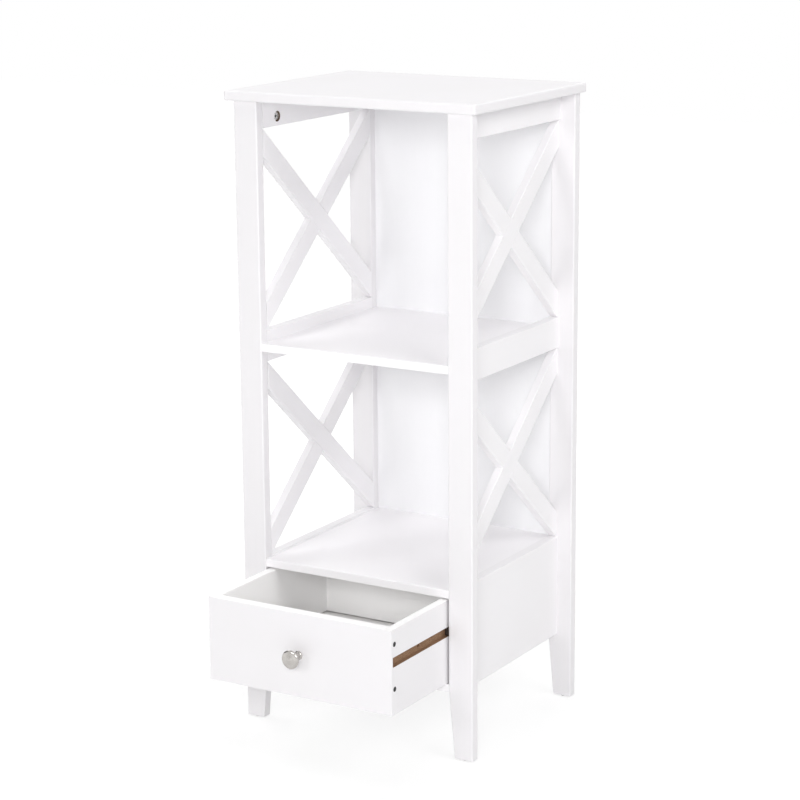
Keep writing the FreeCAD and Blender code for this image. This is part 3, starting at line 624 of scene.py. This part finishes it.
# Drawer screws: countersunk heads with cross slots, flush with the sides, and ribbed shanks in the wood.
SCREW_SIDES = 32
SCREW_TIP = [(0.25, -39.9), (1.1, -38.2)]
SCREW_HEAD = [(1.95, -2.45), (3.55, -0.15), (3.65, -0.05), (3.5, 0.0)]
RIB = [(1.45, -37.2), (1.95, -36.3)]
RIB_COUNT = 17
RIB_PITCH = 1.9
ribs = [(radius, height + number * RIB_PITCH) for number in range(RIB_COUNT) for radius, height in RIB]
screw = turned_piece("drawer_screw", SCREW_TIP + ribs + SCREW_HEAD, SCREW_SIDES)
cut_slots(screw, cross_cutters(width=1.0, length=4.4, depth=1.8, narrowing=0.45))

# Each screw stands as it came to rest when driven in: a twist of its own, in radians.
FIRST_TWIST = 0.35
TWIST_PER_ROW = 0.55
TWIST_PER_LEVEL = 0.01
screw_places = []
for side in BOTH_WAYS:
    for number, row in enumerate(SCREW_ROWS):
        for level in SCREW_LEVELS:
            twist = FIRST_TWIST + TWIST_PER_ROW * number + level * TWIST_PER_LEVEL
            turn = facing((side, 0, 0), (0, math.cos(twist), math.sin(twist)))
            screw_places.append(((DRAWER_OUTER * side, row, level), turn))
screws = set_out("drawer_screw_set", screw, screw_places)
settle(screws, "drawer", "drawer_screws", black_steel)

# Cam locks: cast discs with a cross slot, a middle socket, a rim step and a mouth for the head of the bolt.
CAM_SIDES = 64
CAM_RINGS = [
    (7.0, -9.4), (7.35, -9.1), (7.35, -7.4), (6.5, -7.1), (6.5, -2.9), (7.35, -2.6),
    (7.4, -0.35), (7.1, 0.0), (6.1, 0.0), (5.9, -0.25), (4.2, -0.25), (4.0, 0.0)]
CAM_SLOT_DEPTH = 3.4
MOUTH_SIDES = 32
MOUTH_RADIUS = 3.0
MOUTH_LENGTH = 12
MOUTH_ALONG = 3.0
MOUTH_LEVEL = -5.0
cam = turned_piece("cam_lock", CAM_RINGS, CAM_SIDES)
cut_slots(cam, cross_cutters(width=1.7, length=7.0, depth=CAM_SLOT_DEPTH, narrowing=0.7))
cut_slots(cam, [slot_cutter(width=3.6, length=3.6, depth=CAM_SLOT_DEPTH, narrowing=0.6)])
bpy.ops.object.select_all(action="DESELECT")
bpy.ops.mesh.primitive_cylinder_add(
    vertices=MOUTH_SIDES, radius=MOUTH_RADIUS * MM, depth=MOUTH_LENGTH * MM,
    location=(0, MOUTH_ALONG * MM, MOUTH_LEVEL * MM))
mouth = bpy.context.object
mouth.rotation_euler = AXIS_TO_FRONT
fix_place()
cut_slots(cam, [mouth])
shelf_cam = twin_of(cam)

rail_places = []
shelf_places = []
for side in BOTH_WAYS:
    for end in BOTH_WAYS:
        spot = (CAM_FACE * side, CAM_ALONG * end, CAM_LEVEL)
        rail_places.append((spot, facing((-side, 0, 0), (0, 0, 1))))
for under in SHELF_UNDERSIDES:
    for side in BOTH_WAYS:
        for end in BOTH_WAYS:
            spot = (SHELF_CAM_ACROSS * side, SHELF_CAM_ALONG * end, under)
            shelf_places.append((spot, facing((0, 0, -1), (side, 0, 0))))
rail_cams = set_out("rail_cam_set", cam, rail_places)
settle(rail_cams, "case", "rail_cam_locks", rail_zinc)
shelf_cams = set_out("shelf_cam_set", shelf_cam, shelf_places)
settle(shelf_cams, "case", "shelf_cam_locks", shelf_zinc)

# Floor: pale, and seen by the camera as white that keeps the unit's soft shadow.
FLOOR_SIZE = 14
FLOOR_BOUNCE = grey(0.93)
FLOOR_SHADOW = grey(0.30)
NEAR_GLOW = grey(0.735)
FAR_GLOW = grey(0.95)
GLOW_RANGE = (350.0, 1300.0)


def floor_finish(name):
    """Plain pale floor for the light that bounces off it, and for the eye a glow that shadows take from."""
    finish = Finish(name)
    x, y = finish.axes()[:2]
    far = finish.soft_step(finish.math("SQRT", x * x + y * y), *GLOW_RANGE)
    bounce = finish.node("ShaderNodeBsdfDiffuse", None, {"Color": FLOOR_BOUNCE})
    shadow = finish.node("ShaderNodeBsdfDiffuse", None, {"Color": FLOOR_SHADOW})
    glow = finish.node("ShaderNodeEmission", None, {
        "Color": finish.mix(far, NEAR_GLOW, FAR_GLOW), "Strength": 1.0})
    shown = finish.node("ShaderNodeAddShader", None, {0: shadow, 1: glow})
    return finish.show(finish.node("ShaderNodeMixShader", None, {0: finish.seen(), 1: bounce, 2: shown}))


bpy.ops.object.select_all(action="DESELECT")
bpy.ops.mesh.primitive_plane_add(size=FLOOR_SIZE, location=(0, 0, 0))
floor = bpy.context.object
floor.name = "studio_floor"
floor.data.materials.append(floor_finish("studio_floor"))


def direction(azimuth, elevation):
    """The way from the unit to something round it, in degrees, with azimuth from the front to the right."""
    a = math.radians(azimuth)
    e = math.radians(elevation)
    return Vector((math.sin(a) * math.cos(e), -math.cos(a) * math.cos(e), math.sin(e)))


def stand(thing, aim, azimuth, elevation, distance):
    """Stands a lamp or card at a distance in metres from a point of the unit, facing it."""
    away = direction(azimuth, elevation)
    thing.location = Vector(aim) + away * distance
    thing.rotation_mode = "QUATERNION"
    thing.rotation_quaternion = away.to_track_quat("Z", "Y")


# Flags: dark cards round the knob that only shiny surfaces show.
KNOB_SPOT = (0, -0.33, 0.17)
FLAG_DISTANCE = 1.6
FLAG_GREY = grey(0.02)


def flag(name, azimuth, elevation, width, height):
    """A dark card that faces the knob."""
    bpy.ops.object.select_all(action="DESELECT")
    bpy.ops.mesh.primitive_plane_add(size=1)
    card = bpy.context.object
    card.name = name
    card.scale = (width, height, 1)
    stand(card, KNOB_SPOT, azimuth, elevation, FLAG_DISTANCE)
    fix_place()
    finish = Finish(name)
    dark = finish.node("ShaderNodeBsdfDiffuse", None, {"Color": FLAG_GREY})
    card.data.materials.append(finish.show(dark))
    card.visible_camera = False
    card.visible_diffuse = False
    card.visible_transmission = False
    card.visible_shadow = False


flag("left_flag", azimuth=-72, elevation=26, width=1.2, height=1.2)
flag("upper_flag", azimuth=-10, elevation=74, width=0.9, height=0.7)
flag("right_flag", azimuth=62, elevation=42, width=0.8, height=0.5)

# Light: a white room, two soft lamps in front, and one each at the right, at the left, above and behind.
ROOM_LIGHT = 0.30
room = Finish("white_room", walls=True)
lit_wall = room.node("ShaderNodeBackground", None, {"Color": grey(1.0), "Strength": ROOM_LIGHT})
seen_wall = room.node("ShaderNodeBackground", None, {"Color": grey(1.0), "Strength": 1.0})
both_walls = room.node("ShaderNodeMixShader", None, {0: room.seen(), 1: lit_wall, 2: seen_wall})
bpy.context.scene.world = room.show(both_walls)


def lamp(name, aim, azimuth, elevation, distance, size, power):
    """A soft rectangular lamp, aimed at a point of the unit."""
    data = bpy.data.lights.new(name, "AREA")
    data.shape = "RECTANGLE"
    data.size, data.size_y = size
    data.energy = power
    made = bpy.data.objects.new(name, data)
    stand(made, aim, azimuth, elevation, distance)
    bpy.context.scene.collection.objects.link(made)


lamp("front_lamp", (0, -0.1, 0.4), azimuth=27, elevation=17.5, distance=3.6, size=(0.9, 0.8), power=45.5)
lamp("key_lamp", (0, -0.1, 0.4), azimuth=-12, elevation=17.5, distance=3.6, size=(0.9, 0.8), power=16.5)
lamp("right_lamp", (0, -0.05, 0.4), azimuth=80, elevation=36, distance=3.4, size=(1.8, 1.6), power=34.5)
lamp("left_lamp", (0, 0, 0.45), azimuth=-98, elevation=38, distance=3.2, size=(2.2, 1.8), power=39.0)
lamp("top_lamp", (0, -0.1, 0.7), azimuth=20, elevation=80, distance=2.6, size=(2.0, 2.0), power=16.5)
lamp("back_lamp", (0, 0, 0.5), azimuth=178, elevation=24, distance=3.4, size=(2.0, 1.6), power=21.0)

# Camera: right front, a little above, with its slight roll.
CAMERA_AZIMUTH = 31.1
CAMERA_ELEVATION = 13.364
CAMERA_ROLL = math.radians(-0.465)
CAMERA_DISTANCE = 3.440237
CAMERA_TARGET = Vector((-12.369, -10.0, 467.836)) * MM
FOCAL_PIXELS = 2379.686
FRAME_PIXELS = 800.0
SENSOR_WIDTH = 36.0
back = direction(CAMERA_AZIMUTH, CAMERA_ELEVATION)
sideways = direction(CAMERA_AZIMUTH + 90, 0)
rise = back.cross(sideways)
right = math.cos(CAMERA_ROLL) * sideways + math.sin(CAMERA_ROLL) * rise
up = math.cos(CAMERA_ROLL) * rise - math.sin(CAMERA_ROLL) * sideways
camera_data = bpy.data.cameras.new("camera")
camera_data.sensor_width = SENSOR_WIDTH
camera_data.lens = FOCAL_PIXELS / FRAME_PIXELS * SENSOR_WIDTH
camera = bpy.data.objects.new("camera", camera_data)
eye = Matrix.Translation(CAMERA_TARGET + back * CAMERA_DISTANCE)
camera.matrix_world = eye @ Matrix((right, up, back)).transposed().to_4x4()
bpy.context.scene.collection.objects.link(camera)
bpy.context.scene.camera = camera
bpy.context.scene.view_settings.view_transform = "Standard"
